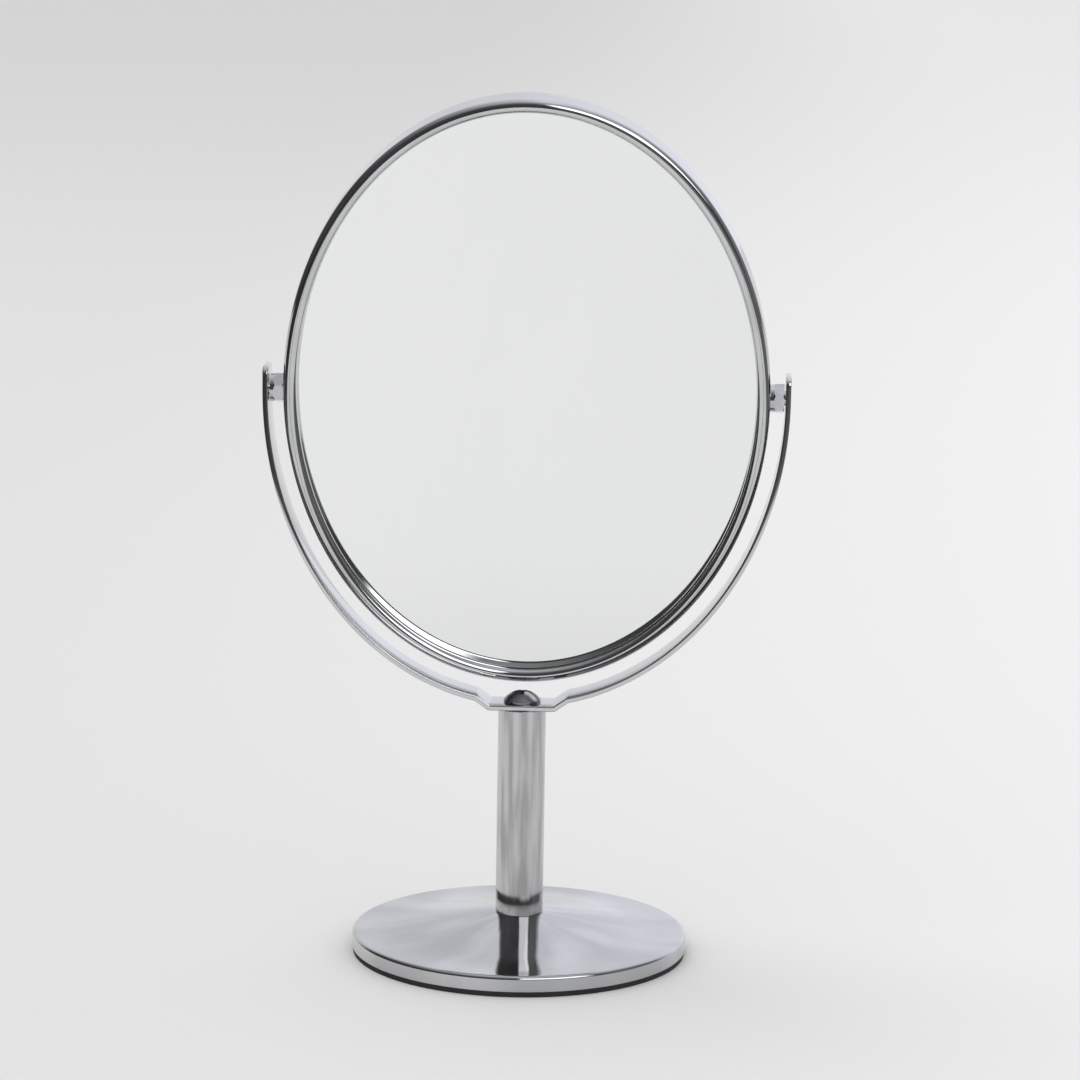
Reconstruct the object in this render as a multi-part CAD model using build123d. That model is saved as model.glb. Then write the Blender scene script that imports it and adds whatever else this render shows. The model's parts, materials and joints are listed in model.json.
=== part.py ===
from build123d import *
import math
import os

# Standing makeup mirror: an oval double-sided mirror in a rolled metal ring, hung on two side
# pivots in a bent strip yoke, on a short tube stem over a round weighted base.
# Millimetres, +Z up, front towards -Y. The origin is the bottom centre of the base.

# Base
base_diameter = 88.8
pad_thickness = 1.4
pad_inset = 0.3
rim_height = 4.2
rim_corner_radius = 1.1
cover_sheet = 0.8
cone_rise = 5.0
rim_flat_width = 4.4
cone_blend_length = 10.0
landing_margin = 0.5
weight_gap = 0.2
weight_bore_clearance = 0.4
counterbore_depth = 4.6
counterbore_clearance = 1.0

# Stem
stem_diameter = 12.6
stem_wall = 1.0
stem_length = 55.6
plug_length = 15.0
plug_fit = 0.02

# Fasteners through the base and the yoke seat
bolt_diameter = 5.0
bolt_hole_clearance = 0.05
bolt_grip_in_plug = 11.0
washer_diameter = 10.0
washer_thickness = 1.0
base_screw_head_diameter = 9.0
base_screw_head_height = 3.0
dome_head_diameter = 9.8
dome_head_height = 3.1
dome_head_edge = 0.7
recess_span = 5.2
recess_width = 1.0
recess_depth = 1.5

# Yoke
strip_width = 11.4
strip_thickness = 1.4
strip_edge_round = 0.3
yoke_bottom_gap = 2.6
arm_end_above_pivot = 6.2
arm_end_corner_radius = 1.3
seat_margin = 2.3
ramp_run = 3.5
ramp_bend_radius = 1.0

# Mirror ring, a rolled channel round an oval
ring_line_half_width = 61.4
ring_line_half_height = 76.65
ring_depth = 12.0
bead_radius = 1.8
ring_sheet = 0.5
flip_clearance = 0.55
rest_tilt = 8.0

# Glass and what packs it
front_glass_recess = 4.5
glass_thickness = 1.3
glass_under_lip = 1.6
magnifier_radius = 1150.0
core_thickness = 0.4
core_inset = 1.5
glass_seat_clearance = 0.03
packing_width = 2.0
packing_edge_inset = 1.2

# Pivots
stud_diameter = 4.0
stud_running_clearance = 0.05
stud_head_diameter = 7.0
stud_head_height = 1.1
nut_across_flats = 7.0
nut_thickness = 2.6
nut_turn = 7.0
nut_chamfer = 0.35
spring_washer_diameter = 7.2
spring_washer_thickness = 1.0
washer_split = 0.7
washer_split_angle = 25.0
arm_running_gap = 0.3

# Worked-out places
base_radius = base_diameter / 2
stem_radius = stem_diameter / 2
rim_top = pad_thickness + rim_height
landing_radius = stem_radius + landing_margin
landing_height = rim_top + cone_rise
stem_top = landing_height + stem_length
seat_top = stem_top + strip_thickness
half_strip = strip_width / 2
bolt_hole_radius = bolt_diameter / 2 + bolt_hole_clearance
counterbore_radius = washer_diameter / 2 + counterbore_clearance
counterbore_roof = pad_thickness + counterbore_depth
plug_radius = stem_radius - stem_wall - plug_fit

half_depth = ring_depth / 2
bead_line = half_depth - bead_radius
ring_half_width = ring_line_half_width + bead_radius
ring_half_height = ring_line_half_height + bead_radius
ring_sweep_radius = math.hypot(ring_line_half_height, bead_line) + bead_radius
pivot_height = seat_top + dome_head_height + flip_clearance + ring_sweep_radius
ring_wall_inside = ring_half_width - ring_sheet
stud_head_share = stud_head_diameter / 2 / (ring_half_height - ring_sheet)
stud_head_seat = ring_wall_inside * math.sqrt(1 - stud_head_share**2)

arm_gap = nut_thickness + spring_washer_thickness + arm_running_gap
arm_inside = ring_half_width + arm_gap
arm_outside = arm_inside + strip_thickness
yoke_bottom_outside = ring_half_height + yoke_bottom_gap + strip_thickness
arm_top = pivot_height + arm_end_above_pivot
seat_half_length = stem_radius + seat_margin
ramp_top_half = seat_half_length + ramp_run

glass_half_width = ring_line_half_width - bead_radius + glass_under_lip
glass_half_height = ring_line_half_height - bead_radius + glass_under_lip
front_glass_face = -half_depth + front_glass_recess
core_face = front_glass_face + glass_thickness
magnifier_crown = core_face + core_thickness + glass_seat_clearance
magnifier_sag = magnifier_radius - math.sqrt(magnifier_radius**2 - glass_half_height**2)
rear_glass_edge = magnifier_crown + magnifier_sag + glass_thickness


def revolved(points_and_curves):
    """Turns a closed half-section, drawn with X as radius and Y as height, about the Z axis."""
    return revolve(Plane.XZ * make_face(Curve() + points_and_curves), Axis.Z)


def annulus(outer_radius, inner_radius, height):
    """A flat ring standing on the XY plane."""
    return extrude(Circle(outer_radius) - Circle(inner_radius), height)


def head_place(shape):
    """Moves a piece drawn about the pivot axis to the pivot height, at its tilt in the rest pose."""
    return Pos(0, 0, pivot_height) * Rot(rest_tilt, 0, 0) * shape


def cover_profile(inset):
    """Corner points of the base cover's top, from the landing to the rim, drawn inwards by inset."""
    blend_end = base_radius - rim_flat_width
    blend_start = blend_end - cone_blend_length
    cone_run = blend_start - landing_radius
    slope = cone_rise / (cone_run + cone_blend_length / 2)
    blend_height = rim_top + cone_rise - slope * cone_run
    return (
        (landing_radius, landing_height - inset),
        (blend_start, blend_height - inset),
        (blend_end, rim_top - inset),
    )


def cover_slope(inset):
    """The cone's straight flank and the hollow blend into the flat margin, drawn inwards by inset."""
    landing, blend_start, blend_end = cover_profile(inset)
    downhill = (blend_start[0] - landing[0], blend_start[1] - landing[1])
    return [Line(landing, blend_start), TangentArc(blend_start, blend_end, tangent=downhill)]


def base_cover():
    """Pressed shell: a shallow cone with a flat landing, a flat margin and a short vertical rim."""
    hole = bolt_hole_radius
    landing, blend_start, blend_end = cover_profile(0)
    under_landing, under_start, under_end = cover_profile(cover_sheet)
    inner_corner = max(rim_corner_radius - cover_sheet, cover_sheet / 4)
    inside = base_radius - cover_sheet
    outline = [
        Line((hole, landing_height), landing),
        *cover_slope(0),
        Line(blend_end, (base_radius - rim_corner_radius, rim_top)),
        RadiusArc(
            (base_radius - rim_corner_radius, rim_top),
            (base_radius, rim_top - rim_corner_radius),
            rim_corner_radius,
        ),
        Line((base_radius, rim_top - rim_corner_radius), (base_radius, pad_thickness)),
        Line((base_radius, pad_thickness), (inside, pad_thickness)),
        Line((inside, pad_thickness), (inside, rim_top - cover_sheet - inner_corner)),
        RadiusArc(
            (inside, rim_top - cover_sheet - inner_corner),
            (inside - inner_corner, rim_top - cover_sheet),
            -inner_corner,
        ),
        Line((inside - inner_corner, rim_top - cover_sheet), under_end),
        *cover_slope(cover_sheet),
        Line(under_landing, (hole, landing_height - cover_sheet)),
        Line((hole, landing_height - cover_sheet), (hole, landing_height)),
    ]
    return revolved(outline)


def base_weight():
    """Iron disc that fills the cover from below, with a bore and a counterbore for the stem screw."""
    landing, blend_start, blend_end = cover_profile(cover_sheet + weight_gap)
    outside = base_radius - cover_sheet - weight_gap
    bore = bolt_diameter / 2 + weight_bore_clearance
    shoulder = rim_top - cover_sheet - rim_corner_radius
    seat = landing_height - cover_sheet
    outline = [
        Line((bore, counterbore_roof), (bore, seat)),
        Line((bore, seat), (stem_radius, seat)),
        Line((stem_radius, seat), landing),
        *cover_slope(cover_sheet + weight_gap),
        Line(blend_end, (outside, shoulder)),
        Line((outside, shoulder), (outside, pad_thickness)),
        Line((outside, pad_thickness), (counterbore_radius, pad_thickness)),
        Line((counterbore_radius, pad_thickness), (counterbore_radius, counterbore_roof)),
        Line((counterbore_radius, counterbore_roof), (bore, counterbore_roof)),
    ]
    return revolved(outline)


def base_pad():
    """Foam disc glued under the weight, the face that the mirror stands on."""
    return extrude(Circle(base_radius - pad_inset), pad_thickness)


def cross_recess(top):
    """Cross-shaped driver recess, cut down from a screw head's top."""
    slot = Box(recess_span, recess_width, recess_depth, align=(Align.CENTER, Align.CENTER, Align.MAX))
    return Pos(0, 0, top) * (slot + Rot(0, 0, 90) * slot)


def base_washer():
    """Flat washer in the counterbore, under the stem screw's head."""
    disc = annulus(washer_diameter / 2, bolt_hole_radius, washer_thickness)
    return Pos(0, 0, counterbore_roof - washer_thickness) * disc


def base_screw():
    """Screw from below that draws the stem down on the base."""
    head_face = counterbore_roof - washer_thickness
    shank_length = landing_height + bolt_grip_in_plug - head_face
    head = extrude(Circle(base_screw_head_diameter / 2), base_screw_head_height)
    head = Pos(0, 0, head_face - base_screw_head_height) * head
    shank = Pos(0, 0, head_face) * extrude(Circle(bolt_diameter / 2), shank_length)
    driver = Rot(180, 0, 0) * cross_recess(base_screw_head_height - head_face)
    return head + shank - driver


def stem_tube():
    """Straight round tube between the base and the yoke."""
    return Pos(0, 0, landing_height) * annulus(stem_radius, stem_radius - stem_wall, stem_length)


def stem_plug():
    """Tapped plug that sits in one end of the tube and takes a screw."""
    return annulus(plug_radius, bolt_hole_radius, plug_length)


def yoke_band(inset):
    """Half of the yoke's lower outline as a filled half oval, drawn inwards by inset."""
    half_width = arm_outside - inset
    oval = Ellipse(half_width, yoke_bottom_outside - inset)
    lower_half = Rectangle(2 * half_width, yoke_bottom_outside, align=(Align.CENTER, Align.MAX))
    return Pos(0, pivot_height) * (oval & lower_half)


def yoke_band_height(inset, x):
    """Height of that outline at a place x."""
    share = x / (arm_outside - inset)
    return pivot_height - (yoke_bottom_outside - inset) * math.sqrt(1 - share**2)


def yoke_seat():
    """Side outline of the flat seat and its two ramps up to the bow, with rounded bends."""
    ramp_top = yoke_band_height(strip_thickness, ramp_top_half)
    ramp_foot = yoke_band_height(0, ramp_top_half)
    slope = math.atan2(ramp_top - seat_top, ramp_run)
    under_half = seat_half_length + strip_thickness * math.tan(slope / 2)
    seat = Polyline(
        (-ramp_top_half, ramp_top),
        (-seat_half_length, seat_top),
        (seat_half_length, seat_top),
        (ramp_top_half, ramp_top),
        (ramp_top_half, ramp_foot),
        (under_half, stem_top),
        (-under_half, stem_top),
        (-ramp_top_half, ramp_foot),
        close=True,
    )
    seat = make_face(seat)
    inner_bends = [v for v in seat.vertices() if abs(abs(v.X) - seat_half_length) < 0.01]
    seat = fillet(inner_bends, ramp_bend_radius)
    outer_bends = [v for v in seat.vertices() if abs(abs(v.X) - under_half) < 0.01]
    return fillet(outer_bends, ramp_bend_radius + strip_thickness)


def yoke_outline():
    """Side outline of the bent strip: two arms, the oval bow and the seat."""
    opening = Pos(0, pivot_height - yoke_bottom_outside) * Rectangle(2 * ramp_top_half, stem_length)
    bow = yoke_band(0) - yoke_band(strip_thickness) - opening
    arm = Rectangle(strip_thickness, arm_end_above_pivot, align=(Align.MAX, Align.MIN))
    arms = Pos(arm_outside, pivot_height) * arm
    arms += Pos(-arm_inside, pivot_height) * arm
    return bow + yoke_seat() + arms


def yoke():
    """Bent metal strip that carries the mirror head, with its seat hole and two pivot holes."""
    body = extrude(Plane.XZ * yoke_outline(), half_strip, both=True)
    end_corners = [e for e in body.edges().filter_by(Axis.X) if abs(e.center().Z - arm_top) < 0.01]
    body = fillet(end_corners, arm_end_corner_radius)
    below_ends = arm_top - arm_end_corner_radius - 0.01
    long_edges = [e for e in body.edges() if abs(abs(e.center().Y) - half_strip) < 0.01]
    body = fillet([e for e in long_edges if e.center().Z < below_ends], strip_edge_round)
    seat_hole = Pos(0, 0, stem_top) * Cylinder(bolt_hole_radius, 4 * strip_thickness)
    pivot_hole = Cylinder(stud_diameter / 2 + stud_running_clearance, 4 * arm_outside)
    return body - seat_hole - Pos(0, 0, pivot_height) * Rot(0, 90, 0) * pivot_hole


def yoke_screw():
    """Dome-headed screw that clamps the yoke's seat on the stem."""
    radius = dome_head_diameter / 2
    crown = dome_head_height - dome_head_edge
    dome_radius = (radius**2 + crown**2) / (2 * crown)
    shank_radius = bolt_diameter / 2
    shank_length = strip_thickness + bolt_grip_in_plug
    outline = [
        Line((0, dome_head_height), (0, -shank_length)),
        Line((0, -shank_length), (shank_radius, -shank_length)),
        Line((shank_radius, -shank_length), (shank_radius, 0)),
        Line((shank_radius, 0), (radius, 0)),
        Line((radius, 0), (radius, dome_head_edge)),
        RadiusArc((radius, dome_head_edge), (0, dome_head_height), -dome_radius),
    ]
    return Pos(0, 0, seat_top) * (revolved(outline) - cross_recess(dome_head_height))


def ring_section():
    """The rolled channel: a flat outer wall, a half-round bead on each side, lips down to the glass."""
    inner = bead_radius - ring_sheet
    return make_face(
        Curve()
        + [
            Line((bead_radius, -bead_line), (bead_radius, bead_line)),
            CenterArc((0, bead_line), bead_radius, 0, 180),
            Line((-bead_radius, bead_line), (-bead_radius, rear_glass_edge)),
            Line((-bead_radius, rear_glass_edge), (-inner, rear_glass_edge)),
            Line((-inner, rear_glass_edge), (-inner, bead_line)),
            CenterArc((0, bead_line), inner, 0, 180),
            Line((inner, bead_line), (inner, -bead_line)),
            CenterArc((0, -bead_line), inner, 180, 180),
            Line((-inner, -bead_line), (-inner, front_glass_face)),
            Line((-inner, front_glass_face), (-bead_radius, front_glass_face)),
            Line((-bead_radius, front_glass_face), (-bead_radius, -bead_line)),
            CenterArc((0, -bead_line), bead_radius, 180, 180),
        ]
    )


def mirror_frame():
    """Channel ring swept round the oval, with a hole for each pivot stud."""
    path = Edge.make_ellipse(ring_line_half_width, ring_line_half_height, plane=Plane.XZ)
    ring = sweep(Pos(ring_line_half_width, 0, 0) * ring_section(), path=path)
    hole = Cylinder(stud_diameter / 2 + stud_running_clearance, 4 * ring_half_width)
    return head_place(ring - Rot(0, 90, 0) * hole)


def oval_plate(inset, thickness, front):
    """A flat oval plate inside the ring, drawn inwards by inset, with its front face at the given Y."""
    oval = Plane.XZ * Ellipse(glass_half_width - inset, glass_half_height - inset)
    return Pos(0, front + thickness, 0) * extrude(oval, thickness)


def front_mirror():
    """Plain mirror pane, held by the front lip."""
    return head_place(oval_plate(0, glass_thickness, front_glass_face))


def rear_mirror():
    """Magnifying pane: bent glass, hollow towards the rear."""
    outer_ball = Pos(0, magnifier_crown + magnifier_radius, 0) * Sphere(magnifier_radius)
    inner_ball = Pos(0, glass_thickness, 0) * outer_ball
    block = oval_plate(0, ring_depth, magnifier_crown - glass_thickness)
    return head_place((block & outer_ball) - inner_ball)


def mirror_core():
    """Card between the two panes."""
    return head_place(oval_plate(core_inset, core_thickness, core_face))


def packing_ring():
    """Foam ring that fills the wedge between the panes near their edge."""
    outer = glass_half_width - packing_edge_inset
    inner = outer - packing_width
    wedge = inner**2 / (2 * magnifier_radius)
    card_back = core_face + core_thickness
    band = oval_plate(packing_edge_inset, wedge, card_back)
    hollow = oval_plate(packing_edge_inset + packing_width, wedge, card_back)
    return head_place(band - hollow)


def pivot_stud(side):
    """Headed stud: its head lies inside the ring and its end turns in the yoke's arm."""
    length = arm_outside - stud_head_seat
    head = Pos(0, 0, -stud_head_height) * extrude(Circle(stud_head_diameter / 2), stud_head_height)
    shank = extrude(Circle(stud_diameter / 2), length)
    return head_place(Rot(0, 90 * side, 0) * Pos(0, 0, stud_head_seat) * (head + shank))


def pivot_nut(side, stand_off):
    """Hexagon nut with chamfered corners on the stud, standing off from the ring's wall."""
    turn = nut_turn * side
    hexagon = RegularPolygon(nut_across_flats / 2, 6, major_radius=False, rotation=turn)
    corner_radius = nut_across_flats / math.sqrt(3)
    blank = extrude(Circle(corner_radius), nut_thickness)
    blank = chamfer(blank.edges().filter_by(GeomType.CIRCLE), nut_chamfer)
    bore = Circle(stud_diameter / 2 + stud_running_clearance)
    nut = extrude(hexagon, nut_thickness) & blank
    nut -= extrude(bore, nut_thickness)
    place = Pos(0, 0, ring_half_width + stand_off)
    return head_place(Rot(0, 90 * side, 0) * place * nut)


def spring_washer(side, stand_off):
    """Split washer on the stud, standing off from the ring's wall."""
    bore = stud_diameter / 2 + stud_running_clearance
    ring = annulus(spring_washer_diameter / 2, bore, spring_washer_thickness)
    cutter = Box(spring_washer_diameter, washer_split, 4 * spring_washer_thickness)
    cutter = Rot(washer_split_angle, 0, 0) * Pos(spring_washer_diameter / 2, 0, 0) * cutter
    ring -= Pos(0, 0, spring_washer_thickness / 2) * cutter
    place = Pos(0, 0, ring_half_width + stand_off)
    return head_place(Rot(0, 90 * side, 0) * place * ring)


def build_parts():
    """Every sub-part of the mirror, by node name."""
    right = 1
    left = -1
    return {
        "base_cover": base_cover(),
        "base_weight": base_weight(),
        "base_pad": base_pad(),
        "base_washer": base_washer(),
        "base_screw": base_screw(),
        "stem_tube": stem_tube(),
        "stem_foot_plug": Pos(0, 0, landing_height) * stem_plug(),
        "stem_top_plug": Pos(0, 0, stem_top - plug_length) * stem_plug(),
        "yoke": yoke(),
        "yoke_screw": yoke_screw(),
        "mirror_frame": mirror_frame(),
        "front_mirror": front_mirror(),
        "rear_mirror": rear_mirror(),
        "mirror_core": mirror_core(),
        "packing_ring": packing_ring(),
        "right_pivot_stud": pivot_stud(right),
        "right_spring_washer": spring_washer(right, 0),
        "right_pivot_nut": pivot_nut(right, spring_washer_thickness),
        "left_pivot_stud": pivot_stud(left),
        "left_pivot_nut": pivot_nut(left, 0),
        "left_spring_washer": spring_washer(left, nut_thickness),
    }


os.makedirs("parts", exist_ok=True)
for node, shape in build_parts().items():
    export_step(shape, f"parts/{node}.step")
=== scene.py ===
"""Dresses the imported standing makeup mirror: plated surfaces, mirror glass, studio and camera.

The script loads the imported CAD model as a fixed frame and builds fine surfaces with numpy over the
plated nodes, because polished metal shows every facet. Sizes come from the frame's own boxes, with named
values for what a box doesn't tell. Everything is in metres, +Z up, front towards -Y.
"""

from __future__ import annotations

import json
import logging
import math
from dataclasses import dataclass
from enum import Enum

import bmesh
import bpy
import numpy as np
from mathutils import Matrix, Vector

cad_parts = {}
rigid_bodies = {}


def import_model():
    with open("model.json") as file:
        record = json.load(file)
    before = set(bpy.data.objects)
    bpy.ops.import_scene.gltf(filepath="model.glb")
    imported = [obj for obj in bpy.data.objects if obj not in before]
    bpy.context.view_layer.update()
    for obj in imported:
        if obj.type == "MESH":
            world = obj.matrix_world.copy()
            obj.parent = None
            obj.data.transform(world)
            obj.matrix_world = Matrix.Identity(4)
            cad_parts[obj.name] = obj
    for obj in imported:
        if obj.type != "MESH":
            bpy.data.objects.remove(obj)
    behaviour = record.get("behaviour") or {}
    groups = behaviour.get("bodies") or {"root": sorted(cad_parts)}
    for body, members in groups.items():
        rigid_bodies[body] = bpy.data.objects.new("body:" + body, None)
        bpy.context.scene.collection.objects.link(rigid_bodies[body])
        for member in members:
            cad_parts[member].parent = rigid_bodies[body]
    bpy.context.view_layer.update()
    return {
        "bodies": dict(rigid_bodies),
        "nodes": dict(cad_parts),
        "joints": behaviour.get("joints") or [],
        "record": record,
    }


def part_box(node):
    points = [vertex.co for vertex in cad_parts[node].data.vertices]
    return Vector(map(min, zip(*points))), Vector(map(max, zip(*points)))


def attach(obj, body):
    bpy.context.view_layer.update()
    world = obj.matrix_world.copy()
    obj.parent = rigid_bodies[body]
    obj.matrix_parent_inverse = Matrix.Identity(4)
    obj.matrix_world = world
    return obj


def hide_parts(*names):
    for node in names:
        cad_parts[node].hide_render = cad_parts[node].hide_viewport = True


MM = 0.001
FULL_TURN = 2 * math.pi
QUARTER_TURN = math.pi / 2
SAME_POINT = 1e-7
log = logging.getLogger("makeup_mirror")

Piece = bpy.types.Object
Material = bpy.types.Material
Node = bpy.types.Node
Tree = bpy.types.NodeTree
Socket = bpy.types.NodeSocket
Triple = tuple[float, float, float]
Span = tuple[float, float]


class Body(Enum):
    """CAD bodies that a piece can ride on."""

    STAND = "stand"
    HEAD = "mirror_head"


class Side(Enum):
    """The two sides of the mirror, as their pieces are named."""

    RIGHT = "right"
    LEFT = "left"


class Wrap(Enum):
    """Which directions of a grid of points close on themselves: rows, columns."""

    ROWS = (True, False)
    COLUMNS = (False, True)
    BOTH = (True, True)


def unit(vectors: np.ndarray) -> np.ndarray:
    """Each vector divided by its own length."""
    return vectors / np.linalg.norm(vectors, axis=-1, keepdims=True)


def rounded_outline(corners: np.ndarray, steps: int, support: float, closed: bool = True) -> np.ndarray:
    """Rounds the corners of a flat outline with arcs.

    At each corner the arc starts r * tan(turn / 2) before the corner and turns by the angle between the
    runs. One point a short way before and after each arc keeps the straight runs flat when shaded.

    Args:
        corners: Rows of (x, y, radius), in metres.
        steps: Points on each arc.
        support: Distance of the extra points from the arc's ends, in metres.
        closed: Whether the last corner joins the first.

    Returns:
        Rows of (x, y) along the outline, without doubles.
    """
    points = corners[:, :2]
    radii = corners[:, 2:3]
    ahead = unit(np.roll(points, -1, axis=0) - points)
    behind = np.roll(ahead, 1, axis=0)
    if not closed:
        ahead[-1] = behind[-1]
        behind[0] = ahead[0]
    cross = behind[:, 0] * ahead[:, 1] - behind[:, 1] * ahead[:, 0]
    turn = np.arctan2(cross, np.sum(behind * ahead, axis=1))[:, None]
    side = np.sign(turn) * np.stack([-behind[:, 1], behind[:, 0]], axis=1)
    reach = radii * np.tan(np.abs(turn) / 2)
    angle = np.abs(turn) * np.linspace(0.0, 1.0, steps)
    along = radii * np.sin(angle)
    aside = radii * (1 - np.cos(angle))
    start = points - behind * reach
    arc = start[:, None, :] + along[..., None] * behind[:, None, :] + aside[..., None] * side[:, None, :]
    room = np.where(radii > 0, support, 0.0)
    before = (start - behind * room)[:, None, :]
    after = (points + ahead * (reach + room))[:, None, :]
    outline = np.concatenate([before, arc, after], axis=1).reshape(-1, 2)
    gaps = np.linalg.norm(np.diff(outline, axis=0), axis=1)
    return outline[np.concatenate([[True], gaps > SAME_POINT])]


def surface(name: str, grid: np.ndarray, wrap: Wrap) -> Piece:
    """Makes an object from a grid of points, with its doubles merged and its faces pointing outwards.

    Point (i, j) is joined to (i + 1, j), (i + 1, j + 1) and (i, j + 1) by one face.

    Args:
        name: The new object's name.
        grid: Points as an array of rows, columns and x, y, z, in metres.
        wrap: Which directions close on themselves.

    Returns:
        The new object, smooth shaded, at the origin.
    """
    close_rows, close_columns = wrap.value
    rows, columns = grid.shape[:2]
    index = np.arange(rows * columns, dtype=np.int32).reshape(rows, columns)
    if close_rows:
        index = np.vstack([index, index[:1]])
    if close_columns:
        index = np.hstack([index, index[:, :1]])
    faces = np.stack([index[:-1, :-1], index[1:, :-1], index[1:, 1:], index[:-1, 1:]], axis=-1)
    sides = faces.shape[-1]
    faces = faces.reshape(-1, sides)
    mesh = bpy.data.meshes.new(name)
    mesh.vertices.add(rows * columns)
    mesh.vertices.foreach_set("co", grid.astype(np.float32).ravel())
    mesh.loops.add(faces.size)
    mesh.loops.foreach_set("vertex_index", faces.ravel())
    mesh.polygons.add(len(faces))
    mesh.polygons.foreach_set("loop_start", np.arange(0, faces.size, sides, dtype=np.int32))
    mesh.update(calc_edges=True)
    shell = bmesh.new()
    shell.from_mesh(mesh)
    bmesh.ops.remove_doubles(shell, verts=shell.verts, dist=SAME_POINT)
    bmesh.ops.recalc_face_normals(shell, faces=shell.faces)
    shell.to_mesh(mesh)
    shell.free()
    mesh.shade_smooth()
    return linked(name, mesh)


def linked(name: str, data: bpy.types.ID) -> Piece:
    """A new object with the given data, linked to the scene."""
    item = bpy.data.objects.new(name, data)
    bpy.context.scene.collection.objects.link(item)
    return item


def turned(name: str, outline: np.ndarray, segments: int) -> Piece:
    """Turns a closed outline of (radius, height) about the Z axis into a shell.

    Point (i, j) is (r_j * cos(a_i), r_j * sin(a_i), z_j), with a_i running once round.

    Args:
        name: The new object's name.
        outline: Rows of (radius, height), in metres.
        segments: Steps round the axis.

    Returns:
        The new object.
    """
    angle = np.linspace(0.0, FULL_TURN, segments, endpoint=False)[:, None]
    radius = outline[None, :, 0]
    height = np.broadcast_to(outline[None, :, 1], (segments, len(outline)))
    grid = np.stack([radius * np.cos(angle), radius * np.sin(angle), height], axis=-1)
    return surface(name, grid, Wrap.BOTH)


def corners_of(node: str) -> tuple[np.ndarray, np.ndarray]:
    """The lowest and highest corner of a CAD node, in metres."""
    low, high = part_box(node)
    return np.array(low), np.array(high)


@dataclass(frozen=True)
class Fineness:
    """How fine a shell is: points on a rounded corner, room beside it, steps along its path."""

    arc: int
    support: float
    steps: int


COVER_MESH = Fineness(14, 0.05 * MM, 384)
TUBE_MESH = Fineness(6, 0.1 * MM, 192)
STRIP_MESH = Fineness(10, 0.1 * MM, 160)
STRIP_END_STEPS, STRIP_EDGE_STEPS = 12, 7
RING_MESH = Fineness(14, 0.04 * MM, 640)
PANE_ROWS, PANE_STEPS = 20, 256
FLOOR_RINGS, FLOOR_STEPS = 24, 96


class Nodes:
    """Short calls that add shader nodes to one tree and join their sockets."""

    MIX_FACTOR, MIX_FIRST, MIX_SECOND, MIX_RESULT = 0, 6, 7, 2

    def __init__(self, tree: Tree) -> None:
        """Keeps the tree that the calls work on."""
        self.tree = tree

    def join(self, node: Node, links: dict) -> None:
        """Joins sockets to a node's inputs, or sets plain values there.

        Args:
            node: The node that takes them.
            links: For each input, by name or number, a socket to join or a plain value.
        """
        for key, value in links.items():
            if isinstance(value, Socket):
                self.tree.links.new(value, node.inputs[key])
            else:
                node.inputs[key].default_value = value

    def add(self, kind: str, links: dict | None = None, **settings: object) -> Node:
        """Adds one node.

        Args:
            kind: The node's type name.
            links: What its inputs take, as join has it.
            settings: Properties of the node itself.

        Returns:
            The new node.
        """
        node = self.tree.nodes.new(kind)
        for key, value in settings.items():
            setattr(node, key, value)
        self.join(node, links or {})
        return node

    def math(self, operation: str, *values: object) -> Socket:
        """The result of a Math node on sockets or plain numbers."""
        return self.add("ShaderNodeMath", dict(enumerate(values)), operation=operation).outputs[0]

    def vector(self, operation: str, *values: object) -> Socket:
        """The result of a Vector Math node, which is a number for LENGTH."""
        node = self.add("ShaderNodeVectorMath", dict(enumerate(values)), operation=operation)
        return node.outputs["Value" if operation == "LENGTH" else "Vector"]

    def parts(self, vector: Socket) -> tuple[Socket, Socket, Socket]:
        """The X, Y and Z of a vector."""
        return tuple(self.add("ShaderNodeSeparateXYZ", {0: vector}).outputs)

    def noise(self, vector: Socket, scale: object, detail: float, **more: float) -> Socket:
        """The value of a noise at a scale and a level of detail."""
        links = {"Vector": vector, "Scale": scale, "Detail": detail, **more}
        return self.add("ShaderNodeTexNoise", links).outputs[0]

    def step(self, value: Socket, span: Span) -> Socket:
        """A smooth step from 0 at the span's start to 1 at its end, which may also run downwards.

        Args:
            value: The value that is stepped.
            span: Where the step starts and where it ends.

        Returns:
            The step, from 0 to 1.
        """
        start, end = span
        links = {"Value": value, "From Min": start, "From Max": end, "To Min": 0.0, "To Max": 1.0}
        if start > end:
            links.update({"From Min": end, "From Max": start, "To Min": 1.0, "To Max": 0.0})
        return self.add("ShaderNodeMapRange", links, interpolation_type="SMOOTHSTEP").outputs[0]

    def scaled(self, value: Socket, low: float, high: float) -> Socket:
        """A value from 0 to 1 carried onto the range from low to high."""
        return self.add("ShaderNodeMapRange", {"Value": value, "To Min": low, "To Max": high}).outputs[0]

    def blend(self, factor: Socket, first: object, second: object) -> Socket:
        """The mix of two colours by a factor."""
        links = {self.MIX_FACTOR: factor, self.MIX_FIRST: first, self.MIX_SECOND: second}
        return self.add("ShaderNodeMix", links, data_type="RGBA").outputs[self.MIX_RESULT]

    def bump(self, height: Socket, distance: float) -> Socket:
        """The normal of a surface raised by a height from 0 to 1 over a distance in metres."""
        links = {"Strength": 1.0, "Distance": distance, "Height": height}
        return self.add("ShaderNodeBump", links).outputs[0]


def solid(colour: Triple, share: float = 1.0) -> tuple[float, float, float, float]:
    """A colour as a shader socket takes it, times a share."""
    return (*(share * part for part in colour), 1.0)


def grey(value: float) -> tuple[float, float, float, float]:
    """A neutral colour as a shader socket takes it."""
    return (value, value, value, 1.0)


class Effect(Enum):
    """Shader node groups that more than one finish uses."""

    HANDLING = "handling marks"
    WAVINESS = "plating waviness"
    GRAIN = "fine grain"


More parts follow.
